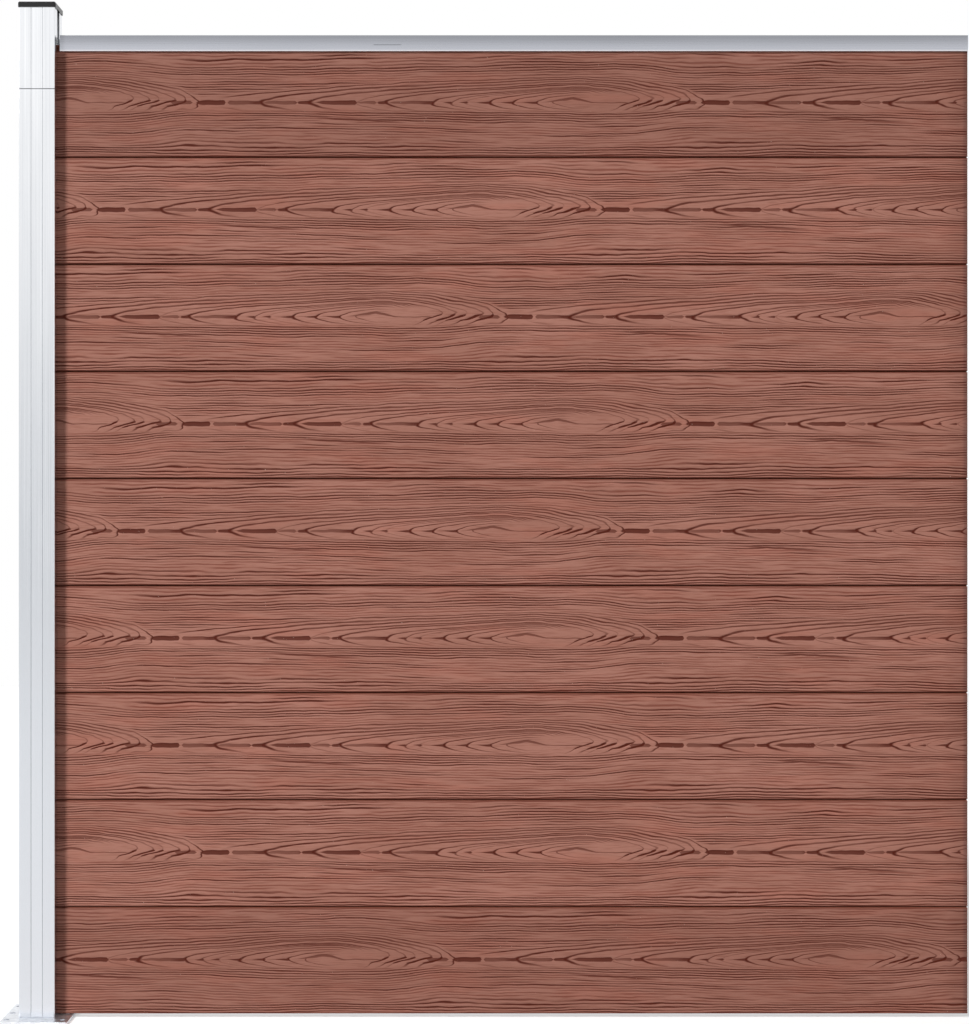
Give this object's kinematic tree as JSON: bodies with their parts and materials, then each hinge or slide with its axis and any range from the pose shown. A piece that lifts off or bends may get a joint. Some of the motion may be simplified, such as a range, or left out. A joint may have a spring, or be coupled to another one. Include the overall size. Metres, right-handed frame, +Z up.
{
  "type": "composite fence panel",
  "caption": "Fence panel of embossed wood-plastic boards stacked in the channel of a slotted aluminium post on a base plate, closed by a top rail; its far end slides into the next post.",
  "frame": {"origin": "centre of the base plate's underside, on the post's axis", "axes": "+X along the panel away from the post, -Y to the front face that the picture shows, +Z up the post"},
  "size_m": [1.7662, 0.14, 1.86],
  "materials": {
    "board_composite": "matte",
    "post_aluminium": "satin",
    "rail_aluminium": "satin",
    "plate_steel": "satin",
    "screw_steel": "satin",
    "cap_plastic": "matte",
    "pad_plastic": "matte"
  },
  "bodies": {
    "root": {"base_plate": "plate_steel", "base_screws": "screw_steel", "post_lower": "post_aluminium", "post_upper": "post_aluminium", "post_joiner": "post_aluminium", "joiner_screws": "screw_steel", "front_cover_lower": "post_aluminium", "front_cover_upper": "post_aluminium", "rear_cover_lower": "post_aluminium", "rear_cover_upper": "post_aluminium", "post_cap": "cap_plastic", "board_rest": "pad_plastic", "top_rail": "rail_aluminium", "board_1": "board_composite", "board_2": "board_composite", "board_3": "board_composite", "board_4": "board_composite", "board_5": "board_composite", "board_6": "board_composite", "board_7": "board_composite", "board_8": "board_composite", "board_9": "board_composite"}
  },
  "joints": []
}
